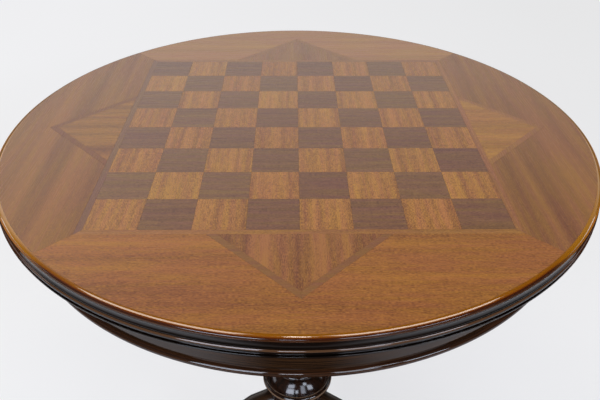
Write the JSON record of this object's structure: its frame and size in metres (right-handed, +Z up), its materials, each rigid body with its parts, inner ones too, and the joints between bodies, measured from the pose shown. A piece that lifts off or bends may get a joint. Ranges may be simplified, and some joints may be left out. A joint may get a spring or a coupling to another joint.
{
  "type": "gaming table",
  "caption": "Round pedestal games table with a marquetry chessboard in an eight-pointed star, a dark moulded edge and apron, a turned column and cabriole legs.",
  "frame": {"origin": "on the floor under the column's axis, at the centre of the round top seen from above", "axes": "+Z up, +X along the board's near edge to a seated player's right, +Y away from that player"},
  "size_m": [0.606, 0.606, 0.7],
  "materials": {
    "light_veneer": "satin varnished golden mahogany veneer, grain front to back",
    "dark_veneer": "satin varnished dark walnut veneer, grain left to right",
    "border_veneer": "satin varnished veneer strip",
    "star_veneer": "satin varnished mahogany veneer",
    "star_stringing": "satin varnished dark veneer strip",
    "surround_veneer": "satin varnished mahogany veneer",
    "amber_lipping": "gloss varnished amber solid wood",
    "dark_edge": "dark stained, gloss varnished",
    "dark_turning": "dark stained, gloss varnished turning",
    "dark_leg": "dark stained, gloss varnished",
    "softwood": "planed, unfinished",
    "backing_veneer": "unfinished veneer",
    "beech": "planed, unfinished",
    "zinc_steel": "zinc plated",
    "black_iron": "black, slightly rough",
    "nickel_glide": "nickel plated"
  },
  "bodies": {
    "root": {"top_core": "softwood", "backing_veneer": "backing_veneer", "top_lipping": "amber_lipping", "edge_moulding": "dark_edge", "light_squares": "light_veneer", "dark_squares": "dark_veneer", "border_strip_front": "border_veneer", "border_strip_right": "border_veneer", "border_strip_back": "border_veneer", "border_strip_left": "border_veneer", "star_point_front": "star_veneer", "star_point_right": "star_veneer", "star_point_back": "star_veneer", "star_point_left": "star_veneer", "star_stringing_front": "star_stringing", "star_stringing_right": "star_stringing", "star_stringing_back": "star_stringing", "star_stringing_left": "star_stringing", "surround_front": "surround_veneer", "surround_right": "surround_veneer", "surround_back": "surround_veneer", "surround_left": "surround_veneer", "apron_bricks": "softwood", "frieze_veneer": "dark_edge", "apron_bead": "dark_edge", "glue_blocks": "softwood", "bearer_left": "beech", "bearer_right": "beech", "bearer_screws": "zinc_steel", "head_block": "beech", "head_block_screws": "zinc_steel", "column_shaft": "dark_turning", "column_dome": "dark_turning", "column_collar": "dark_turning", "leg_hub": "dark_turning", "tie_rod": "zinc_steel", "tie_rod_nuts": "zinc_steel", "tie_rod_washers": "zinc_steel", "leg_back": "dark_leg", "leg_front_left": "dark_leg", "leg_front_right": "dark_leg", "spider_plate": "black_iron", "spider_screws": "zinc_steel", "foot_glides": "nickel_glide"}
  },
  "joints": []
}
